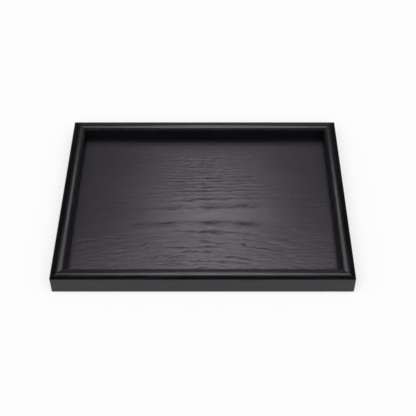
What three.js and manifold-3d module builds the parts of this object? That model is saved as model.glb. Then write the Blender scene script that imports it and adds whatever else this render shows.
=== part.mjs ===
// Rectangular wooden tea tray: a mitred frame of four moulded rails around a veneered base panel.
// The panel lies in a rebate under the rails, held from below by steel pins, and a hidden loose
// tongue crosses each mitre. Millimetres, +Z up. The origin is on the table under the middle of
// the tray, +X runs along its length and +Y towards its rear.

import * as THREE from 'three';
import { mergeVertices } from 'three/addons/utils/BufferGeometryUtils.js';
import Module from 'manifold-3d';

const wasm = await Module();
wasm.setup();

// Outside of the tray
const trayLength = 360;
const trayDepth = 280;
const railHeight = 25;
const cornerRadius = 2; // upright corners, seen from above

// Section of a rail
const railWidth = 16.5;
const crownRise = 2; // middle of the rail's top above its edges
const outerEasing = 1.2;
const innerEasing = 2;
const footChamfer = 0.6;
const rebateDepth = 7.5; // how far the panel's seat runs under the rail

// Base panel, and the table's distance from its underside
const veneerThickness = 0.6;
const coreThickness = 4.2;
const panelRecess = 0.5;

// Loose tongue across a mitre
const tongueWidth = 10;
const tongueThickness = 3;
const tongueCover = 3; // wood left above and below it

// Pins through the panel's edge
const pinDiameter = 1.4;
const pinLength = 15;
const pinPoint = 2.2; // length of the tapered point
const pinHeadDiameter = 2.8;
const pinHeadThickness = 0.6;
const pinEndMargin = 45; // first pin from the end of its rail
const longSidePins = 4;
const shortSidePins = 3;

// Clearances
const mitreGap = 0.2; // square to the joint
const glueLine = 0.05;
const panelClearance = 0.3; // panel's edge to the rebate's wall
const tongueClearance = 0.25;
const pinClearance = 0.1;

// Steps on round stretches
const easingSteps = 5;
const crownSteps = 7; // on each side of the rail's highest line
const cornerSteps = 5;
const pinSides = 12;

// Levels and widths that follow from the sizes above
const coreBottom = panelRecess + veneerThickness + glueLine;
const faceBottom = coreBottom + coreThickness + glueLine;
const panelTop = faceBottom + veneerThickness;
const rebateHeight = panelTop + glueLine;
const rebateWall = railWidth - rebateDepth;
const faceHeight = railHeight - crownRise;
const panelEdge = rebateWall + panelClearance; // panel's edge from the tray's outer face
const pinInset = railWidth - rebateDepth / 2; // pin's axis from the tray's outer face
const tongueHeight = faceHeight - rebateHeight - 2 * tongueCover;
const tongueLevel = (rebateHeight + faceHeight) / 2; // height of a tongue's middle

const railFinish = { color: 0x121013, roughness: 0.34, metalness: 0 };
const faceFinish = { color: 0x1b181c, roughness: 0.42, metalness: 0 };
const backFinish = { color: 0x171518, roughness: 0.6, metalness: 0 };
const coreFinish = { color: 0x8d6d49, roughness: 0.85, metalness: 0 };
const tongueFinish = { color: 0xb18c5c, roughness: 0.8, metalness: 0 };
const pinFinish = { color: 0x5a5c60, roughness: 0.45, metalness: 1 };

function mesh(name, geometry, finish) {
  geometry.computeVertexNormals();
  const piece = new THREE.Mesh(geometry, new THREE.MeshStandardMaterial(finish));
  piece.name = name;
  return piece;
}

// A closed geometry as a solid that can be cut.
function solidOf(geometry) {
  const bare = geometry.clone();
  bare.deleteAttribute('normal');
  bare.deleteAttribute('uv');
  const welded = mergeVertices(bare);
  return new wasm.Manifold(
    new wasm.Mesh({
      numProp: 3,
      vertProperties: new Float32Array(welded.attributes.position.array),
      triVerts: new Uint32Array(welded.index.array),
    }),
  );
}

function geometryOf(solid) {
  const result = solid.getMesh();
  const geometry = new THREE.BufferGeometry();
  geometry.setAttribute('position', new THREE.BufferAttribute(result.vertProperties, result.numProp));
  geometry.setIndex(new THREE.BufferAttribute(result.triVerts, 1));
  return geometry;
}

function cut(geometry, cutters) {
  const remainder = cutters.reduce((solid, cutter) => solid.subtract(solidOf(cutter)), solidOf(geometry));
  return geometryOf(remainder);
}

// Points along an arc, both ends included.
function arcPoints(centre, radius, fromAngle, toAngle, steps) {
  const points = [];
  for (let step = 0; step <= steps; step += 1) {
    const angle = fromAngle + ((toAngle - fromAngle) * step) / steps;
    const spoke = new THREE.Vector2(Math.cos(angle), Math.sin(angle));
    points.push(spoke.multiplyScalar(radius).add(centre));
  }
  return points;
}

// Section of a rail: x runs inwards from the outer face and y upwards from the table. The crown is
// one arc over the rail's whole width, and each easing touches the crown and an upright face.
function railSection() {
  const halfWidth = railWidth / 2;
  const crownRadius = (halfWidth ** 2 + crownRise ** 2) / (2 * crownRise);
  const crown = new THREE.Vector2(halfWidth, railHeight - crownRadius);
  const easingCentre = (x, radius) => {
    const height = Math.sqrt((crownRadius - radius) ** 2 - (x - crown.x) ** 2);
    return new THREE.Vector2(x, crown.y + height);
  };
  const outer = easingCentre(outerEasing, outerEasing);
  const inner = easingCentre(railWidth - innerEasing, innerEasing);
  const outerAngle = outer.clone().sub(crown).angle();
  const innerAngle = inner.clone().sub(crown).angle();
  const topAngle = Math.PI / 2;
  return new THREE.Shape([
    new THREE.Vector2(footChamfer, 0),
    new THREE.Vector2(0, footChamfer),
    ...arcPoints(outer, outerEasing, Math.PI, outerAngle, easingSteps),
    ...arcPoints(crown, crownRadius, outerAngle, topAngle, crownSteps).slice(1),
    ...arcPoints(crown, crownRadius, topAngle, innerAngle, crownSteps).slice(1, -1),
    ...arcPoints(inner, innerEasing, innerAngle, 0, easingSteps),
    new THREE.Vector2(railWidth, rebateHeight),
    new THREE.Vector2(rebateWall, rebateHeight),
    new THREE.Vector2(rebateWall, 0),
  ]);
}

// A rail along X, with its outer face on y = 0 and both ends mitred inwards.
function mouldedRail(length) {
  const geometry = new THREE.ExtrudeGeometry(railSection(), { depth: 1, steps: 1, bevelEnabled: false });
  const positions = geometry.attributes.position;
  for (let i = 0; i < positions.count; i += 1) {
    const inwards = positions.getX(i);
    const end = positions.getZ(i) > 0 ? 1 : -1;
    const reach = length / 2 - inwards - mitreGap / Math.SQRT2;
    positions.setXYZ(i, end * reach, inwards, positions.getY(i));
  }
  return geometry;
}

// The tray's outline with its round corners, as an upright block in the frame of one of its rails.
function roundedOutline(length, depth) {
  const x = length / 2 - cornerRadius;
  const near = cornerRadius;
  const far = depth - cornerRadius;
  const quarter = Math.PI / 2;
  const corners = [[-x, near], [x, near], [x, far], [-x, far]];
  const points = corners.flatMap(([cornerX, cornerY], turn) => {
    const from = (turn - 2) * quarter;
    return arcPoints(new THREE.Vector2(cornerX, cornerY), cornerRadius, from, from + quarter, cornerSteps);
  });
  return new THREE.ExtrudeGeometry(new THREE.Shape(points), { depth: railHeight, bevelEnabled: false });
}

function tongueBlock(allowance) {
  return new THREE.BoxGeometry(
    tongueWidth + 2 * allowance,
    tongueThickness + 2 * allowance,
    tongueHeight + 2 * allowance,
  );
}

// The mortise for a tongue at one end (-1 or 1) of a rail.
function tongueMortise(length, end) {
  const mortise = tongueBlock(tongueClearance);
  mortise.rotateZ((end * Math.PI) / 4);
  mortise.translate((end * (length - railWidth)) / 2, railWidth / 2, tongueLevel);
  return mortise;
}

// A pin standing on its head at the panel's underside. With an allowance it becomes the hole for
// one, open at the bottom.
function pinShape(allowance) {
  const headRadius = pinHeadDiameter / 2 + allowance;
  const shankRadius = pinDiameter / 2 + allowance;
  const headTop = pinHeadThickness + allowance;
  const tip = pinLength + allowance;
  const outline = [
    [0, -allowance],
    [headRadius, -allowance],
    [headRadius, headTop],
    [shankRadius, headTop],
    [shankRadius, tip - pinPoint],
    [0, tip],
  ];
  const points = outline.map(([radius, height]) => new THREE.Vector2(radius, height));
  return new THREE.LatheGeometry(points, pinSides).rotateX(Math.PI / 2);
}

// Places of the pins along a rail, evenly spaced between its end margins.
function pinPlaces(length, count) {
  const pitch = (length - 2 * pinEndMargin) / (count - 1);
  const places = [];
  for (let pin = 0; pin < count; pin += 1) {
    const x = pinEndMargin + pin * pitch - length / 2;
    places.push(new THREE.Vector3(x, pinInset, panelRecess));
  }
  return places;
}

function pinHoles(places) {
  return places.map((place) => pinShape(pinClearance).translate(place.x, place.y, place.z));
}

function rail(side) {
  const outline = solidOf(roundedOutline(side.length, side.depth));
  const rounded = geometryOf(solidOf(mouldedRail(side.length)).intersect(outline));
  const mortises = [-1, 1].map((end) => tongueMortise(side.length, end));
  const geometry = cut(rounded, [...mortises, ...pinHoles(side.pins)]);
  return mesh(`${side.name}_rail`, geometry, railFinish);
}

// One side of the tray: its rail and the pins in it, turned to face outwards.
function sideGroup(side) {
  const group = new THREE.Group();
  group.add(rail(side));
  side.pins.forEach((place, i) => {
    const pin = mesh(`panel_pin_${side.name}_${i + 1}`, pinShape(0), pinFinish);
    pin.position.copy(place);
    group.add(pin);
  });
  const reach = side.depth / 2;
  group.position.set(Math.sin(side.turn) * reach, -Math.cos(side.turn) * reach, 0);
  group.rotation.z = side.turn;
  group.updateMatrixWorld();
  return group;
}

function tongue(name, x, y) {
  const piece = mesh(`corner_tongue_${name}`, tongueBlock(0), tongueFinish);
  const inset = railWidth / 2;
  piece.position.set(x * (trayLength / 2 - inset), y * (trayDepth / 2 - inset), tongueLevel);
  piece.rotation.z = (-x * y * Math.PI) / 4;
  return piece;
}

// One layer of the panel, drilled for every pin that reaches it.
function panelLayer(name, bottom, thickness, places, finish) {
  const sheet = new THREE.BoxGeometry(trayLength - 2 * panelEdge, trayDepth - 2 * panelEdge, thickness);
  sheet.translate(0, 0, bottom + thickness / 2);
  return mesh(`panel_${name}`, cut(sheet, pinHoles(places)), finish);
}

const longPins = pinPlaces(trayLength, longSidePins);
const shortPins = pinPlaces(trayDepth, shortSidePins);
const sides = [
  { name: 'front', length: trayLength, depth: trayDepth, turn: 0, pins: longPins },
  { name: 'right', length: trayDepth, depth: trayLength, turn: Math.PI / 2, pins: shortPins },
  { name: 'rear', length: trayLength, depth: trayDepth, turn: Math.PI, pins: longPins },
  { name: 'left', length: trayDepth, depth: trayLength, turn: -Math.PI / 2, pins: shortPins },
];
const sideGroups = sides.map(sideGroup);
const allPins = sides.flatMap((side, i) => side.pins.map((place) => sideGroups[i].localToWorld(place.clone())));

const tray = new THREE.Group();
tray.add(...sideGroups);
tray.add(
  tongue('front_left', -1, -1),
  tongue('front_right', 1, -1),
  tongue('rear_left', -1, 1),
  tongue('rear_right', 1, 1),
);
tray.add(
  panelLayer('back_veneer', panelRecess, veneerThickness, allPins, backFinish),
  panelLayer('core', coreBottom, coreThickness, allPins, coreFinish),
  panelLayer('face_veneer', faceBottom, veneerThickness, allPins, faceFinish),
);

export default tray;
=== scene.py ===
import math
import bmesh
import bpy
from mathutils import Euler, Matrix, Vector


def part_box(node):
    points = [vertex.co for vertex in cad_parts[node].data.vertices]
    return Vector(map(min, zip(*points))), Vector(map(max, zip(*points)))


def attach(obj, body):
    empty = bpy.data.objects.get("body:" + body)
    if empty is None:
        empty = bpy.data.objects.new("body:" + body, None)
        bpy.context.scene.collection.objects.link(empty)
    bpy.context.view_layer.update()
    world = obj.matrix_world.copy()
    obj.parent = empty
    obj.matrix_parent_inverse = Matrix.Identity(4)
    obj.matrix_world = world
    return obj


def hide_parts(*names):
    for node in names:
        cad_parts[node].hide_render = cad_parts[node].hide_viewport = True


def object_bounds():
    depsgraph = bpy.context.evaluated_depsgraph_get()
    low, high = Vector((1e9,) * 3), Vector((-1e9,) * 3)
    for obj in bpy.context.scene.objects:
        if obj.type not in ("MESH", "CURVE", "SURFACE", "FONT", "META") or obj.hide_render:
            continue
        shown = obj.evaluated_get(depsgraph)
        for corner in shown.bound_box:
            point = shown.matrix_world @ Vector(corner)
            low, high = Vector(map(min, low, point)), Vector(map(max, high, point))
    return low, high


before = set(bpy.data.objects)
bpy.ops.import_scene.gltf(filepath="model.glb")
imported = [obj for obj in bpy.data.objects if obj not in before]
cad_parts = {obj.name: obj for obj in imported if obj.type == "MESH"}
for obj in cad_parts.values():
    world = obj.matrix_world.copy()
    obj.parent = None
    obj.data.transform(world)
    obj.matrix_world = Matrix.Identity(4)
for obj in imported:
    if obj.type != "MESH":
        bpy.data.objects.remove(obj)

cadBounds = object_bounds()
scene = bpy.context.scene
scene.view_settings.view_transform = "Standard"
mm = 0.001
creaseAngle = math.radians(32)  # edges that turn more than this stay crisp

sides = ("front", "right", "rear", "left")  # each a quarter turn on from the one before
tongueNames = [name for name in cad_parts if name.startswith("corner_tongue")]
pinNames = sorted(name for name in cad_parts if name.startswith("panel_pin"))
print("frame: tray of", len(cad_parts), "nodes")


# Node helpers

class Wire:  # a socket in a node tree; sums on it add Math nodes
    def __init__(self, tree, socket=None):
        self.tree = tree
        self.socket = socket

    def node(self, kind, settings=None, inputs=None, out=0):
        made = self.tree.nodes.new(kind)
        for name, value in (settings or {}).items():
            setattr(made, name, value)
        for name, value in (inputs or {}).items():
            if isinstance(value, Wire):
                self.tree.links.new(value.socket, made.inputs[name])
            else:
                made.inputs[name].default_value = value
        return Wire(self.tree, made.outputs[out] if made.outputs else None)

    def out(self, name):  # another output of the same node
        return Wire(self.tree, self.socket.node.outputs[name])

    def maths(self, operation, *values):
        return self.node("ShaderNodeMath", {"operation": operation}, dict(enumerate(values)))

    def __add__(self, other):
        return self.maths("ADD", self, other)

    def __radd__(self, other):
        return self.maths("ADD", other, self)

    def __sub__(self, other):
        return self.maths("SUBTRACT", self, other)

    def __rsub__(self, other):
        return self.maths("SUBTRACT", other, self)

    def __mul__(self, other):
        return self.maths("MULTIPLY", self, other)

    def __rmul__(self, other):
        return self.maths("MULTIPLY", other, self)

    def __truediv__(self, other):
        return self.maths("DIVIDE", self, other)

    def __pow__(self, other):
        return self.maths("POWER", self, other)

    def most(self, other):
        return self.maths("MAXIMUM", self, other)

    def least(self, other):
        return self.maths("MINIMUM", self, other)

    def root(self):
        return self.maths("SQRT", self)

    def size(self):
        return self.maths("ABSOLUTE", self)

    def whole(self):
        return self.maths("FLOOR", self)

    def fraction(self):
        return self.maths("FRACT", self)

    def axes(self):
        split = self.node("ShaderNodeSeparateXYZ", {}, {"Vector": self})
        return split.out("X"), split.out("Y"), split.out("Z")

    def vector(self, x, y, z):
        return self.node("ShaderNodeCombineXYZ", {}, {"X": x, "Y": y, "Z": z})

    def stretch(self, x, y, z):
        return self.node("ShaderNodeVectorMath", {"operation": "MULTIPLY"}, {0: self, 1: (x, y, z)})

    def step(self, low, high):  # 0 below low, 1 above high, eased between
        ends = {"Value": self, "From Min": low, "From Max": high}
        return self.node("ShaderNodeMapRange", {"interpolation_type": "SMOOTHSTEP"}, ends)

    def noise(self, scale, detail=2.0, roughness=0.5):
        values = {"Vector": self, "Scale": scale, "Detail": detail, "Roughness": roughness}
        return self.node("ShaderNodeTexNoise", {}, values, "Fac")

    def blend(self, low, high):  # this wire is the factor between two colours
        return self.node("ShaderNodeMix", {"data_type": "RGBA"}, {0: self, 6: low, 7: high}, 2)

    def bump(self, strength, distance):
        values = {"Height": self, "Strength": strength, "Distance": distance}
        return self.node("ShaderNodeBump", {}, values)


def newFinish(name, fixed):
    finish = bpy.data.materials.new(name)
    finish.use_nodes = True
    shader = finish.node_tree.nodes["Principled BSDF"]
    for socket, value in fixed.items():
        shader.inputs[socket].default_value = value
    return finish, Wire(finish.node_tree), shader


def feed(shader, wires):
    for socket, wire in wires.items():
        wire.tree.links.new(wire.socket, shader.inputs[socket])


def objectPlace(wire):
    return wire.node("ShaderNodeTexCoord", {}, {}, "Object")


def attribute(wire, name, output):
    return wire.node("ShaderNodeAttribute", {"attribute_name": name}, {}, output)


# Geometry Nodes helpers

def newTree(name, inputs):
    tree = bpy.data.node_groups.new(name, "GeometryNodeTree")
    tree.interface.new_socket("Geometry", in_out="OUTPUT", socket_type="NodeSocketGeometry")
    tree.interface.new_socket("Geometry", in_out="INPUT", socket_type="NodeSocketGeometry")
    for label, kind in inputs.items():
        tree.interface.new_socket(label, in_out="INPUT", socket_type=f"NodeSocket{kind}")
    start = Wire(tree).node("NodeGroupInput")
    return tree, {label: start.out(label) for label in ["Geometry", *inputs]}


def finishTree(geometry, material):
    real = geometry.node("GeometryNodeRealizeInstances", {}, {"Geometry": geometry})
    coated = geometry.node("GeometryNodeSetMaterial", {}, {"Geometry": real, "Material": material})
    geometry.node("NodeGroupOutput", {}, {"Geometry": coated})


def growPiece(name, base, tree, values, cutter=None):
    piece = addPiece(name, base)
    grown = piece.modifiers.new("grow", "NODES")
    grown.node_group = tree
    for socket in tree.interface.items_tree:
        if socket.in_out == "INPUT" and socket.name in values:
            grown[socket.identifier] = values[socket.name]
    if cutter:
        cut = piece.modifiers.new("joinery", "BOOLEAN")
        cut.operation = "DIFFERENCE"
        cut.solver = "MANIFOLD"
        cut.object = cutter
    graph = bpy.context.evaluated_depsgraph_get()
    shape = bpy.data.meshes.new_from_object(piece.evaluated_get(graph), preserve_all_data_layers=True,
                                            depsgraph=graph)
    piece.modifiers.clear()
    piece.data = shape
    shape.name = name
    shape.shade_smooth()
    shape.set_sharp_from_angle(angle=creaseAngle)
    print("made", name, "with", len(shape.polygons), "faces")
    return piece


# Places and plain shapes

def boxSize(name):
    low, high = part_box(name)
    return high - low


def boxMiddle(name):
    low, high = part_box(name)
    return (low + high) / 2


def addPiece(name, shape):
    piece = bpy.data.objects.new(name, shape)
    scene.collection.objects.link(piece)
    return piece


def pointMesh(name, points, edges=()):
    base = bpy.data.meshes.new(name)
    base.from_pydata(points, edges, [])
    return base


def arcPoints(centre, radius, start, end, steps):
    turns = [start + (end - start) * step / steps for step in range(steps + 1)]
    return [(centre[0] + radius * math.cos(turn), centre[1] + radius * math.sin(turn)) for turn in turns]


# Pins: a turned shape, set on the frame's pin places

pinMake = {
    "headDiameter": 2.8 * mm,
    "headThickness": 0.6 * mm,
    "rimRadius": 0.15 * mm,
    "rimSteps": 3,
    "shankDiameter": 1.4 * mm,
    "pointLength": 2.2 * mm,
    "clearance": 0.1 * mm,  # of the holes
    "turnedSides": 32,
    "holeSides": 12,
    "steel": ((0.120, 0.122, 0.128, 1), (0.260, 0.264, 0.272, 1)),
    "dullSpots": (0.060, 0.050, 0.044, 1),
    "polish": 0.32,
}


def pinSteel():
    finish, wire, shader = newFinish("pinSteel", {"Metallic": 1.0})
    place = objectPlace(wire)
    drawn = place.stretch(14, 14, 1).noise(240, 3, 0.6)
    dull = place.noise(900, 3, 0.6).step(0.5, 0.75)
    steel = drawn.blend(*pinMake["steel"])
    aged = (dull * 0.6).blend(steel, pinMake["dullSpots"])
    feed(shader, {
        "Base Color": aged,
        "Roughness": pinMake["polish"] + drawn * 0.14 + dull * 0.24,
        "Normal": (drawn - dull * 0.5).bump(0.2, 0.05 * mm),
    })
    return finish


def pinOutline(length, allowance):  # radius and height, from the head's middle to the point
    head = pinMake["headDiameter"] / 2 + allowance
    shank = pinMake["shankDiameter"] / 2 + allowance
    neck = pinMake["headThickness"] + allowance
    tip = length + allowance
    rim = [(head, -allowance)]
    if allowance == 0:
        radius = pinMake["rimRadius"]
        rim = arcPoints((head - radius, radius), radius, -math.pi / 2, 0, pinMake["rimSteps"])
    body = [(head, neck), (shank, neck), (shank, tip - pinMake["pointLength"]), (0, tip)]
    return [(0, -allowance), *rim, *body]


def turnedShape(name, outline, sideCount):
    shape = bpy.data.meshes.new(name)
    build = bmesh.new()
    corners = [build.verts.new((radius, 0, height)) for radius, height in outline]
    edges = [build.edges.new(pair) for pair in zip(corners, corners[1:])]
    bmesh.ops.spin(build, geom=corners + edges, axis=(0, 0, 1), cent=(0, 0, 0), angle=math.tau,
                   steps=sideCount)
    bmesh.ops.remove_doubles(build, verts=build.verts, dist=0.001 * mm)
    bmesh.ops.recalc_face_normals(build, faces=build.faces)
    build.to_mesh(shape)
    build.free()
    return shape


def pinsInPlaceTree():
    tree, given = newTree("pinsInPlace", {"Pin": "Object", "Material": "Material"})
    spots = given["Geometry"]
    pin = spots.node("GeometryNodeObjectInfo", {}, {"Object": given["Pin"]}, "Geometry")
    placed = spots.node("GeometryNodeInstanceOnPoints", {}, {"Points": spots, "Instance": pin})
    finishTree(placed, given["Material"])
    return tree


def placedPins(name, tree, allowance, sideCount, finish):
    spots = [(boxMiddle(pin).x, boxMiddle(pin).y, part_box(pin)[0].z) for pin in pinNames]
    outline = pinOutline(boxSize(pinNames[0]).z, allowance)
    pattern = addPiece(f"{name}Pattern", turnedShape(f"{name}Pattern", outline, sideCount))
    pins = growPiece(name, pointMesh(name, spots), tree, {"Pin": pattern, "Material": finish})
    bpy.data.objects.remove(pattern)
    return pins


steel = pinSteel()
pinsTree = pinsInPlaceTree()
panelPins = placedPins("panelPins", pinsTree, 0, pinMake["turnedSides"], steel)


# Joinery: the cutter for the mortises across the mitres and for the pin holes

tongueMake = {
    "width": 10 * mm,
    "thickness": 3 * mm,
    "clearance": 0.25 * mm,  # of the mortises
    "beech": ((0.330, 0.190, 0.085, 1), (0.560, 0.380, 0.210, 1)),
    "flecks": (0.200, 0.100, 0.042, 1),
}


def joineryCutter(holes):
    build = bmesh.new()
    build.from_mesh(holes.data)
    spare = 2 * tongueMake["clearance"]
    for name in tongueNames:
        middle = boxMiddle(name)
        turn = -math.copysign(math.pi / 4, middle.x * middle.y)
        room = (tongueMake["width"] + spare, tongueMake["thickness"] + spare, boxSize(name).z + spare, 1)
        place = Matrix.Translation(middle) @ Matrix.Rotation(turn, 4, "Z") @ Matrix.Diagonal(room)
        bmesh.ops.create_cube(build, size=1, matrix=place)
    shape = bpy.data.meshes.new("joineryCutter")
    build.to_mesh(shape)
    build.free()
    return addPiece("joineryCutter", shape)


def tongueBeech():
    finish, wire, shader = newFinish("tongueBeech", {"IOR": 1.45})
    place = objectPlace(wire)
    fibre = place.stretch(9, 9, 1).noise(90, 4, 0.6)
    flecks = place.stretch(30, 30, 6).noise(70, 2, 0.6).step(0.58, 0.7)
    wood = fibre.blend(*tongueMake["beech"])
    flecked = (flecks * 0.7).blend(wood, tongueMake["flecks"])
    feed(shader, {
        "Base Color": flecked,
        "Roughness": 0.66 + fibre * 0.2,
        "Normal": (fibre - flecks * 0.4).bump(0.25, 0.1 * mm),
    })
    return finish


pinHoles = placedPins("pinHoles", pinsTree, pinMake["clearance"], pinMake["holeSides"], steel)
cutter = joineryCutter(pinHoles)


# Rails: the moulded section swept along each side, mitred at its ends

railMake = {
    "crownRise": 2.0 * mm,
    "outerEasing": 1.2 * mm,
    "innerEasing": 2.0 * mm,
    "footChamfer": 0.6 * mm,
    "rebateDepth": 7.5 * mm,
    "panelGlue": 0.05 * mm,
    "cornerRadius": 2.0 * mm,
    "mitreGap": 0.2 * mm,
    "wearReach": 1.4 * mm,  # how far the rubbing goes from an arris over a flat face
    "rings": 161,
    "endCrowding": 2.2,  # draws the rings towards the round upright corners
    "crownSteps": 22,
    "easingSteps": 9,
    "grainShift": 0.83,  # from rail to rail, so that no two have the same grain
    "lacquer": {"IOR": 1.45, "Specular Tint": (1.0, 0.96, 1.02, 1)},
    "stain": ((0.0013, 0.0010, 0.0014, 1), (0.0058, 0.0048, 0.0062, 1)),
    "poreStain": (0.0006, 0.0004, 0.0006, 1),
    "rubbedWood": (0.015, 0.0115, 0.011, 1),
    "polish": 0.18,
    "wallHaze": 0.24,  # the inner wall is polished less than the top
    "poreDepth": 0.12 * mm,
}


def railLacquer(width):
    finish, wire, shader = newFinish("railLacquer", railMake["lacquer"])
    grain = attribute(wire, "grainSpace", "Vector")
    arris = attribute(wire, "arris", "Fac")
    inward = grain.axes()[1]
    wall = inward.step(width - 0.4 * mm, width - 0.05 * mm)  # only the upright inner face
    streaks = grain.stretch(1, 16, 16).noise(26, 4, 0.6)
    pores = grain.stretch(1, 22, 22).noise(70, 3, 0.65).step(0.56, 0.72)
    clouds = grain.noise(14, 3)
    rubbed = (arris * grain.noise(160, 3, 0.7)).step(0.46, 0.66)
    stain = streaks.step(0.3, 0.7).blend(*railMake["stain"])
    veined = (pores * 0.8).blend(stain, railMake["poreStain"])
    haze = clouds * 0.06 + pores * 0.1 + rubbed * 0.05 + wall * railMake["wallHaze"]
    feed(shader, {
        "Base Color": (rubbed * 0.5).blend(veined, railMake["rubbedWood"]),
        "Roughness": railMake["polish"] + haze,
        "Normal": (streaks * 0.35 - pores).bump(0.2, railMake["poreDepth"]),
    })
    return finish


def railSection(width, height):  # inward from the outer face and up from the table, with the arris mask
    half = width / 2
    rise = railMake["crownRise"]
    crownRadius = (half ** 2 + rise ** 2) / (2 * rise)
    crown = (half, height - crownRadius)

    def easing(x, radius):  # middle of the arc that touches the crown, and the turn where it does
        drop = math.sqrt((crownRadius - radius) ** 2 - (x - half) ** 2)
        return (x, crown[1] + drop), math.atan2(drop, x - half)

    outer, outerTurn = easing(railMake["outerEasing"], railMake["outerEasing"])
    inner, innerTurn = easing(width - railMake["innerEasing"], railMake["innerEasing"])
    top = math.pi / 2
    steps = railMake["crownSteps"]
    rounds = railMake["easingSteps"]
    foot = railMake["footChamfer"]
    reach = railMake["wearReach"]
    wall = width - railMake["rebateDepth"]
    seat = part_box("panel_face_veneer")[1].z + railMake["panelGlue"]
    footArris = [(foot, 0), (0, foot)]
    outerFace = [(0, foot + reach), (0, outer[1] - reach)]
    outerArc = arcPoints(outer, railMake["outerEasing"], math.pi, outerTurn, rounds)
    crownArc = [*arcPoints(crown, crownRadius, outerTurn, top, steps)[1:],
                *arcPoints(crown, crownRadius, top, innerTurn, steps)[1:-1]]
    innerArc = arcPoints(inner, railMake["innerEasing"], innerTurn, 0, rounds)
    innerFace = [(width, inner[1] - reach), (width, seat)]
    points = [(foot + reach, 0), *footArris, *outerFace, *outerArc, *crownArc, *innerArc, *innerFace,
              (wall, seat), (wall, 0)]
    mask = [1.0 if point in footArris + outerArc + innerArc else 0.0 for point in points]
    return points[::-1], mask[::-1]


def sectionMesh(width, height):
    points, mask = railSection(width, height)
    loop = [(i, (i + 1) % len(points)) for i in range(len(points))]
    base = pointMesh("railSection", [(-inward, -up, 0) for inward, up in points], loop)
    base.attributes.new("arris", "FLOAT", "POINT").data.foreach_set("value", mask)
    return base


def mouldedRailTree():
    tree, given = newTree("mouldedRail", {
        "Length": "Float", "Reach": "Float", "Turn": "Float", "Mitre Gap": "Float",
        "Corner Radius": "Float", "Rings": "Int", "End Crowding": "Float", "Grain Shift": "Float",
        "Material": "Material",
    })
    wire = given["Geometry"]
    half = given["Length"] / 2
    ends = {"Start": wire.vector(half * -1, 0, 0), "End": wire.vector(half, 0, 0)}
    path = wire.node("GeometryNodeCurvePrimitiveLine", {}, ends)
    rings = wire.node("GeometryNodeResampleCurve", {}, {"Curve": path, "Count": given["Rings"]})
    along = wire.node("GeometryNodeSplineParameter", {}, {}, "Factor") * 2 - 1
    crowded = 1 - (1 - along.size()) ** given["End Crowding"]
    spread = wire.vector(along.maths("SIGN", along) * crowded * half, 0, 0)
    spaced = wire.node("GeometryNodeSetPosition", {}, {"Geometry": rings, "Position": spread})
    upright = wire.node("GeometryNodeSetCurveNormal", {"mode": "Z_UP"}, {"Curve": spaced})
    section = wire.node("GeometryNodeMeshToCurve", {}, {"Mesh": wire})
    swept = wire.node("GeometryNodeCurveToMesh", {},
                      {"Curve": upright, "Profile Curve": section, "Fill Caps": True})

    # the ends lean with the depth into the rail, and the outer arris follows the round corner
    x, inward, up = wire.node("GeometryNodeInputPosition").axes()
    radius = given["Corner Radius"]
    cornerCut = radius * (1 - math.sqrt(0.5))
    lean = (half - inward.most(cornerCut) - given["Mitre Gap"] * math.sqrt(0.5)) / half
    mitred = x * lean
    bite = (radius - (half - mitred.size())).most(0.0)
    rounded = inward.most(radius - (radius * radius - bite * bite).root())
    place = wire.vector(mitred, rounded, up)
    shaped = wire.node("GeometryNodeSetPosition", {}, {"Geometry": swept, "Position": place})
    grain = wire.vector(mitred + given["Grain Shift"], rounded, up)
    marked = wire.node("GeometryNodeStoreNamedAttribute", {"data_type": "FLOAT_VECTOR", "domain": "POINT"},
                       {"Geometry": shaped, "Name": "grainSpace", "Value": grain})

    turn = given["Turn"]
    outward = wire.vector(turn.maths("SINE", turn) * given["Reach"],
                          turn.maths("COSINE", turn) * given["Reach"] * -1, 0)
    spin = wire.node("FunctionNodeEulerToRotation", {}, {"Euler": wire.vector(0, 0, turn)})
    turned = wire.node("GeometryNodeTransform", {},
                       {"Geometry": marked, "Translation": outward, "Rotation": spin})
    finishTree(turned, given["Material"])
    return tree


def makeRails():
    width, height = boxSize("front_rail").yz
    lacquer = railLacquer(width)
    tree = mouldedRailTree()
    base = sectionMesh(width, height)
    trayLength = cadBounds[1][0] - cadBounds[0][0]
    trayDepth = cadBounds[1][1] - cadBounds[0][1]
    rails = {}
    for i, side in enumerate(sides):
        length, depth = (trayLength, trayDepth) if side in ("front", "rear") else (trayDepth, trayLength)
        rails[f"{side}_rail"] = growPiece(f"{side}Rail", base.copy(), tree, {
            "Length": length,
            "Reach": depth / 2,
            "Turn": i * math.pi / 2,
            "Mitre Gap": railMake["mitreGap"],
            "Corner Radius": railMake["cornerRadius"],
            "Rings": railMake["rings"],
            "End Crowding": railMake["endCrowding"],
            "Grain Shift": i * railMake["grainShift"],
            "Material": lacquer,
        }, cutter)
    return rails


rails = makeRails()


# Tray floor: the face veneer, with growth rings that stand in slight relief

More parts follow.
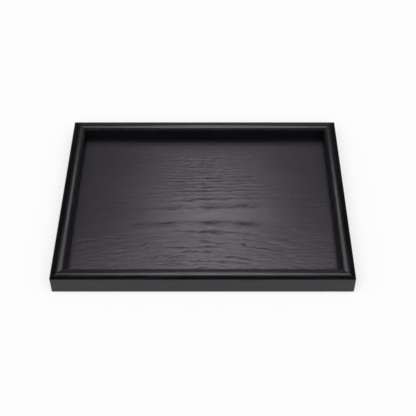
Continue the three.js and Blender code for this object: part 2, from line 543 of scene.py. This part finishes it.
floorMake = {
    "columns": 120,
    "rows": 400,
    "relief": 0.04 * mm,  # depth of the open lines
    "grain": {
        "ringWidth": 5.4 * mm,  # towards the front edge
        "upperRingWidth": 4.2 * mm,
        "firstRing": 0.8,
        "heartPlace": -19 * mm,  # middle of the plain band, across the tray
        "heartSlope": 0.06,
        "heartDepth": 54 * mm,  # how far the heart of the log lay under the veneer
        "lowerBow": 1.05,  # drop of the arches away from the middle, in 1/m
        "lowerSlope": 0.096,
        "upperSlope": 0.025,
        "waver": 9 * mm,
        "ripple": 12 * mm,
        "fray": 8 * mm,
    },
    "boldReach": 125 * mm,  # where the figure has faded, to both sides of the middle
    "boldFlare": 45 * mm,  # how much further it goes at the front
    "endCalm": 0.6,  # share of the figure that is lost there
    "rearCalm": 0.4,
    "plainPlace": -16 * mm,  # the plain band below the middle
    "plainCalm": 0.35,
    "lacquer": {"IOR": 1.47, "Specular Tint": (1.0, 0.84, 0.98, 1), "Coat Roughness": 0.46},
    "stain": ((0.0117, 0.0106, 0.0139, 1), (0.0184, 0.0167, 0.0217, 1)),
    "poreStain": (0.0030, 0.0022, 0.0030, 1),
    "polish": 0.16,
    "coat": 0.4,
    "ridgeCoat": 0.3,  # more lacquer on the hard ridges
    "footShadeWidth": 7 * mm,  # painted shade: a darker line along the foot of the long walls
    "rearHazeWidth": 42 * mm,  # a strip along the rear wall is rubbed down less
    "rearHaze": 0.36,
}


def figure(place):  # bold in the middle of the sheet; calm at its ends, at the rear and in the plain band
    x, y, _ = place.axes()
    aside = x.size() - (y * -1).step(20 * mm, 90 * mm) * floorMake["boldFlare"]
    plain = 1 - (y - floorMake["plainPlace"]).size().step(4 * mm, 30 * mm)
    middle = 1 - aside.step(0.0, floorMake["boldReach"]) * floorMake["endCalm"]
    rear = y.step(30 * mm, 110 * mm)
    return middle * (1 - rear * floorMake["rearCalm"]) * (1 - plain * floorMake["plainCalm"])


def growthAt(place, grain):  # years, counted outwards from the heart of the log
    x, y, _ = place.axes()
    off = y - grain["heartPlace"] - x * grain["heartSlope"]
    lower = (off * -1).step(0.0, 40 * mm)
    bend = lower * (x * grain["lowerBow"] + grain["lowerSlope"]) * x + (1 - lower) * grain["upperSlope"] * x
    waver = (place.stretch(1, 3.2, 0).noise(11, 2, 0.5) - 0.5) * grain["waver"]
    ripple = (place.stretch(1, 2.5, 0).noise(45, 3, 0.55) - 0.5) * grain["ripple"]
    fray = (place.stretch(1, 3.2, 0).noise(70, 3, 0.6) - 0.5) * grain["fray"]
    away = off + bend + waver + ripple * (0.6 + lower * 0.4) + fray
    width = grain["ringWidth"] + (grain["upperRingWidth"] - grain["ringWidth"]) * away.step(-5 * mm, 5 * mm)
    depth = grain["heartDepth"]
    return ((away * away + depth * depth).root() - depth) / width + grain["firstRing"]


def ringLines(place, grain):  # the open, dark start of each year's ring, and the hard wood that ends it
    growth = growthAt(place, grain)
    ring = growth.whole()
    season = growth.fraction()
    yearSeed = ring + 0.37  # off the whole number, so that rounding can't change it
    year = growth.node("ShaderNodeTexWhiteNoise", {"noise_dimensions": "1D"}, {"W": yearSeed}, "Value")
    x, y, _ = place.axes()
    broken = place.vector(x, ring * 0.043, 0).noise(18, 2, 0.5).step(0.4, 0.6)  # lines stop and start again
    run = broken.most(y.step(0.0, 30 * mm) * 0.7)
    clear = (0.45 + year * 0.55) * (0.32 + run * 0.68) * figure(place)
    start = season.step(0.0, 0.12) * (1 - season) ** 3.5
    end = season.step(0.5, 0.85) * (1 - season.step(0.92, 1.0))
    return start * clear, end * clear


def floorVeneer():
    finish, wire, shader = newFinish("floorVeneer", floorMake["lacquer"])
    place = objectPlace(wire)
    y = place.axes()[1]
    line, ridge = ringLines(place, floorMake["grain"])
    bold = figure(place)
    silk = place.stretch(1, 10, 1).noise(24, 4, 0.62) * (0.08 + bold * 0.12)
    dashes = place.stretch(1, 9, 1).noise(60, 3, 0.65).step(0.36, 0.6)
    pores = place.stretch(1, 14, 1).noise(90, 3, 0.7).step(0.5, 0.68)
    clouds = place.stretch(1, 2.2, 1).noise(9, 3)
    openGrain = (line * (0.6 + dashes * 1.2) + pores * (0.03 + bold * 0.1 + line * 0.4)).least(1.0)

    # painted shade along the foot of the long walls, with a darker base colour and less coat there; and the
    # lacquer beside the rear one stays hazy
    wall = boxSize("panel_face_veneer").y / 2 - railMake["rebateDepth"]
    foot = y.size().step(wall - floorMake["footShadeWidth"], wall - 3 * mm)
    cloudyEdge = y - (clouds - 0.5) * 24 * mm
    strip = cloudyEdge.step(wall - floorMake["rearHazeWidth"], wall - 5 * mm) * bold

    stain = clouds.blend(*floorMake["stain"])
    # at the foot the coat thins and the base colour darkens towards the pore colour: painted shade
    coat = (1 - (openGrain * 1.8).least(1.0)) * (1 - foot * 0.6) * (1.06 - dashes * 0.14)
    haze = (clouds - 0.5) * 0.04 + strip * floorMake["rearHaze"] + openGrain * (0.2 + bold * 0.34)
    feed(shader, {
        "Base Color": openGrain.most(foot * 0.7).blend(stain, floorMake["poreStain"]),
        "Roughness": floorMake["polish"] + haze,
        "Coat Weight": coat * floorMake["coat"] + ridge * floorMake["ridgeCoat"],
        "Normal": (silk - openGrain * 0.09 + ridge * 0.02).bump(1.0, 1 * mm),
    })
    return finish


def veneerFloorTree():
    tree, given = newTree("veneerFloor", {
        "Size": "Vector", "Middle": "Vector", "Columns": "Int", "Rows": "Int", "Relief": "Float",
        "Material": "Material", **dict.fromkeys(floorMake["grain"], "Float"),
    })
    wire = given["Geometry"]
    sheet = wire.node("GeometryNodeMeshCube", {}, {
        "Size": given["Size"], "Vertices X": given["Columns"], "Vertices Y": given["Rows"], "Vertices Z": 2,
    })
    place = wire.node("GeometryNodeInputPosition")
    z = place.axes()[2]
    line, _ = ringLines(place, given)
    sunk = line * given["Relief"] * z.maths("GREATER_THAN", z, 0.0)
    carved = wire.node("GeometryNodeSetPosition", {},
                       {"Geometry": sheet, "Offset": wire.vector(0, 0, sunk * -1)})
    laid = wire.node("GeometryNodeTransform", {}, {"Geometry": carved, "Translation": given["Middle"]})
    finishTree(laid, given["Material"])
    return tree


def makeFloor():
    return growPiece("trayFloor", pointMesh("trayFloor", []), veneerFloorTree(), {
        "Size": boxSize("panel_face_veneer"),
        "Middle": boxMiddle("panel_face_veneer"),
        "Columns": floorMake["columns"],
        "Rows": floorMake["rows"],
        "Relief": floorMake["relief"],
        "Material": floorVeneer(),
        **floorMake["grain"],
    }, cutter)


trayFloor = makeFloor()
bpy.data.objects.remove(cutter)
bpy.data.objects.remove(pinHoles)


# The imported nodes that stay: core board, back veneer and tongues

coreMake = {
    "plies": 3,
    "wood": ((0.150, 0.085, 0.040, 1), (0.400, 0.270, 0.150, 1)),
    "glue": (0.070, 0.038, 0.020, 1),
}
backMake = {
    "stain": ((0.0065, 0.0055, 0.0065, 1), (0.0155, 0.0130, 0.0150, 1)),
    "poreStain": (0.0030, 0.0024, 0.0030, 1),
    "polish": 0.52,
    "poreDepth": 0.16 * mm,
}


def plyCore():
    finish, wire, shader = newFinish("plyCore", {"IOR": 1.45})
    place = objectPlace(wire)
    z = place.axes()[2]
    low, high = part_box("panel_core")
    level = (z - low.z) * (coreMake["plies"] / (high.z - low.z))
    ply = level.whole()
    crossed = ply.maths("MODULO", ply, 2)  # every other ply lies across the tray
    along = place.stretch(1, 14, 30).noise(38, 4, 0.6)
    across = place.stretch(14, 1, 30).noise(38, 4, 0.6)
    fibre = along + (across - along) * crossed
    glue = (level.fraction() - 0.5).size().step(0.42, 0.48)
    wood = fibre.blend(*coreMake["wood"])
    feed(shader, {
        "Base Color": glue.blend(wood, coreMake["glue"]),
        "Roughness": 0.72 + fibre * 0.2,
        "Normal": fibre.bump(0.3, 0.1 * mm),
    })
    return finish


def backVeneer():
    finish, wire, shader = newFinish("backVeneer", {"IOR": 1.5})
    place = objectPlace(wire)
    streaks = place.stretch(1, 12, 1).noise(40, 4, 0.6)
    pores = place.stretch(1, 20, 1).noise(110, 3, 0.7).step(0.54, 0.7)
    stain = streaks.blend(*backMake["stain"])
    feed(shader, {
        "Base Color": pores.blend(stain, backMake["poreStain"]),
        "Roughness": backMake["polish"] + streaks * 0.12 + pores * 0.15,
        "Normal": (streaks * 0.3 - pores).bump(0.3, backMake["poreDepth"]),
    })
    return finish


def dress(name, finish):
    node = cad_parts[name]
    node.data.materials.clear()
    node.data.materials.append(finish)


dress("panel_core", plyCore())
dress("panel_back_veneer", backVeneer())
beech = tongueBeech()
for name in tongueNames:
    dress(name, beech)

for node, rail in rails.items():
    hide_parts(node)
    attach(rail, "root")
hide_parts("panel_face_veneer")
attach(trayFloor, "root")
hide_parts(*pinNames)
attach(panelPins, "root")
print("pieces ride on the tray")


# Stage: pale table, overhead light, a soft box high behind the tray for its gloss, and a dim room

stageMake = {
    "tableSpan": 80.0,
    "tableGap": 0.1 * mm,  # just under the tray's foot
    "tableColour": (0.9, 0.9, 0.9, 1),
    "tableWhite": 0.5,  # share of plain white in what is seen of the table
    "overheadStrength": 3.12,
    "overheadTilt": 25,  # degrees from upright, towards the viewer
    "overheadSoftness": 80,  # degrees across
    "roomGrey": 0.03,  # overhead, and behind the soft box
    "roomPale": 0.65,  # half way up, on the viewer's side and at both ends
    "paleFront": (0.1, 0.8),  # it fades in and out between these parts of the direction
    "paleEnds": (0.58, 0.92),
    "paleRise": (0.25, 0.5),
    "paleFall": (0.6, 0.95),
    "horizonGrey": 0.38,
    "horizonRise": 34,  # degrees over which the pale horizon fades upwards
    "boxDistance": 2.2,
    "boxLean": 33,  # degrees from straight above, towards the back
    "boxWidth": 2.6,
    "boxHeight": 3.2,
    "boxSpots": (  # middle, spread and strength of each glow on it
        {"across": 0.03, "down": -0.22, "width": 0.38, "height": 0.2, "strength": 6.9},
        {"across": 0.0, "down": 0.38, "width": 0.13, "height": 0.076, "strength": 6.5},
        {"across": 0.1, "down": 1.2, "width": 0.5, "height": 0.32, "strength": 0.75},
    ),
}


def palePlane(name, width, height):
    shape = bpy.data.meshes.new(name)
    build = bmesh.new()
    span = Matrix.Diagonal((width, height, 1, 1))
    bmesh.ops.create_grid(build, x_segments=1, y_segments=1, size=0.5, matrix=span)
    build.to_mesh(shape)
    build.free()
    plane = addPiece(name, shape)
    return plane


def showOn(finish, wire):
    feed(finish.node_tree.nodes["Material Output"], {"Surface": wire})


def makeTable():
    table = palePlane("table", stageMake["tableSpan"], stageMake["tableSpan"])
    table.location.z = -stageMake["tableGap"]
    finish, wire, shader = newFinish("tableTop", {
        "Base Color": stageMake["tableColour"], "Roughness": 0.9, "Specular IOR Level": 0.1,
    })
    path = wire.node("ShaderNodeLightPath", {}, {}, "Is Camera Ray")
    seen = path.most(path.out("Is Glossy Ray")).most(path.out("Is Transmission Ray"))
    white = wire.node("ShaderNodeEmission", {}, {"Strength": 1.0})
    shaded = Wire(finish.node_tree, shader.outputs["BSDF"])
    paler = wire.node("ShaderNodeMixShader", {}, {0: seen * stageMake["tableWhite"], 1: shaded, 2: white})
    showOn(finish, paler)
    table.data.materials.append(finish)


def makeSoftBox():
    box = palePlane("softBox", stageMake["boxWidth"], stageMake["boxHeight"])
    lean = Matrix.Rotation(-math.radians(stageMake["boxLean"]), 4, "X")
    box.matrix_world = lean @ Matrix.Translation((0, 0, stageMake["boxDistance"]))
    glow = bpy.data.materials.new("softBoxGlow")
    glow.use_nodes = True
    wire = Wire(glow.node_tree)
    across, down, _ = objectPlace(wire).axes()
    light = 0
    for spot in stageMake["boxSpots"]:
        aside = (across - spot["across"]) / spot["width"]
        below = (down - spot["down"]) / spot["height"]
        fade = (aside * aside + below * below) * -0.5
        light = fade.maths("EXPONENT", fade) * spot["strength"] + light
    showOn(glow, wire.node("ShaderNodeEmission", {}, {"Color": light}))
    box.data.materials.append(glow)
    box.visible_camera = False
    box.visible_diffuse = False
    box.visible_shadow = False


def makeOverhead():
    lamp = bpy.data.lights.new("overhead", "SUN")
    lamp.energy = stageMake["overheadStrength"]
    lamp.angle = math.radians(stageMake["overheadSoftness"])
    overhead = addPiece("overhead", lamp)
    overhead.rotation_euler = Euler((math.radians(stageMake["overheadTilt"]), 0, 0))
    overhead.visible_glossy = False


def makeRoom():
    room = bpy.data.worlds.new("room")
    room.use_nodes = True
    wire = Wire(room.node_tree)
    across, back, up = wire.node("ShaderNodeTexCoord", {}, {}, "Generated").axes()
    high = up.step(0.0, math.sin(math.radians(stageMake["horizonRise"])))
    horizon = stageMake["horizonGrey"] - high * (stageMake["horizonGrey"] - stageMake["roomGrey"])
    around = (back * -1).step(*stageMake["paleFront"]).most(across.size().step(*stageMake["paleEnds"]))
    halfWayUp = up.step(*stageMake["paleRise"]) * (1 - up.step(*stageMake["paleFall"]))
    pale = around * halfWayUp * stageMake["roomPale"]
    feed(room.node_tree.nodes["Background"], {"Color": horizon.most(pale)})
    scene.world = room


makeTable()
makeSoftBox()
makeOverhead()
makeRoom()
print("stage is lit")


# Camera, from the tray's vanishing lines

cameraMake = {
    "place": (14.44 * mm, -792.2 * mm, 832.2 * mm),
    "lookDown": 46.499,  # degrees
    "sensorWidth": 36,
    "lens": 76.61,
    "shiftAcross": -0.0169,
}


def makeCamera():
    view = bpy.data.cameras.new("view")
    view.sensor_width = cameraMake["sensorWidth"]
    view.lens = cameraMake["lens"]
    view.shift_x = cameraMake["shiftAcross"]
    camera = addPiece("view", view)
    camera.location = cameraMake["place"]
    camera.rotation_euler = Euler((math.radians(90 - cameraMake["lookDown"]), 0, 0))
    scene.camera = camera


makeCamera()
print("camera is set")
